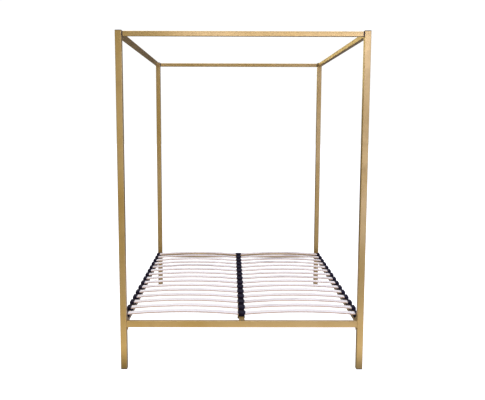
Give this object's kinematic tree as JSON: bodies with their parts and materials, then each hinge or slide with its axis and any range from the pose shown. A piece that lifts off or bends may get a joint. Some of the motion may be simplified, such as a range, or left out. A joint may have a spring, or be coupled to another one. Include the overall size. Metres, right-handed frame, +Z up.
{
  "type": "four poster canopy bed",
  "caption": "Four poster canopy bed in gold square steel tube: tall corner posts, bare canopy rails, a low frame, and arched plywood slats in black holders on a centre rail with a support leg.",
  "frame": {"origin": "on the floor, under the middle of the bed", "axes": "+Z up, +X to the right side seen from the front end, +Y from the front end to the rear end"},
  "size_m": [1.55, 2.08, 2.13],
  "materials": {
    "post_coat": "satin gold powder coat",
    "canopy_coat": "satin gold powder coat",
    "rail_coat": "satin gold powder coat",
    "cap_plastic": "fine moulded grain",
    "glide_plastic": "scuffed moulded",
    "holder_plastic": "semi-gloss moulded",
    "slat_birch": "pale birch plywood, clear lacquer"
  },
  "bodies": {
    "root": {"post_front_left": "post_coat", "post_cap_front_left": "cap_plastic", "post_foot_front_left": "glide_plastic", "canopy_plug_front_left": "cap_plastic", "post_front_right": "post_coat", "post_cap_front_right": "cap_plastic", "post_foot_front_right": "glide_plastic", "canopy_plug_front_right": "cap_plastic", "post_rear_left": "post_coat", "post_cap_rear_left": "cap_plastic", "post_foot_rear_left": "glide_plastic", "canopy_plug_rear_left": "cap_plastic", "post_rear_right": "post_coat", "post_cap_rear_right": "cap_plastic", "post_foot_rear_right": "glide_plastic", "canopy_plug_rear_right": "cap_plastic", "end_rail_front": "rail_coat", "canopy_rail_front": "canopy_coat", "end_rail_rear": "rail_coat", "canopy_rail_rear": "canopy_coat", "side_rail_left": "rail_coat", "canopy_rail_left": "canopy_coat", "slat_holders_left": "holder_plastic", "side_rail_right": "rail_coat", "canopy_rail_right": "canopy_coat", "slat_holders_right": "holder_plastic", "centre_rail": "rail_coat", "centre_leg": "rail_coat", "centre_leg_foot": "glide_plastic", "slat_holders_centre": "holder_plastic", "slat_left_01": "slat_birch", "slat_left_02": "slat_birch", "slat_left_03": "slat_birch", "slat_left_04": "slat_birch", "slat_left_05": "slat_birch", "slat_left_06": "slat_birch", "slat_left_07": "slat_birch", "slat_left_08": "slat_birch", "slat_left_09": "slat_birch", "slat_left_10": "slat_birch", "slat_left_11": "slat_birch", "slat_left_12": "slat_birch", "slat_left_13": "slat_birch", "slat_left_14": "slat_birch", "slat_left_15": "slat_birch", "slat_right_01": "slat_birch", "slat_right_02": "slat_birch", "slat_right_03": "slat_birch", "slat_right_04": "slat_birch", "slat_right_05": "slat_birch", "slat_right_06": "slat_birch", "slat_right_07": "slat_birch", "slat_right_08": "slat_birch", "slat_right_09": "slat_birch", "slat_right_10": "slat_birch", "slat_right_11": "slat_birch", "slat_right_12": "slat_birch", "slat_right_13": "slat_birch", "slat_right_14": "slat_birch", "slat_right_15": "slat_birch"}
  },
  "joints": []
}
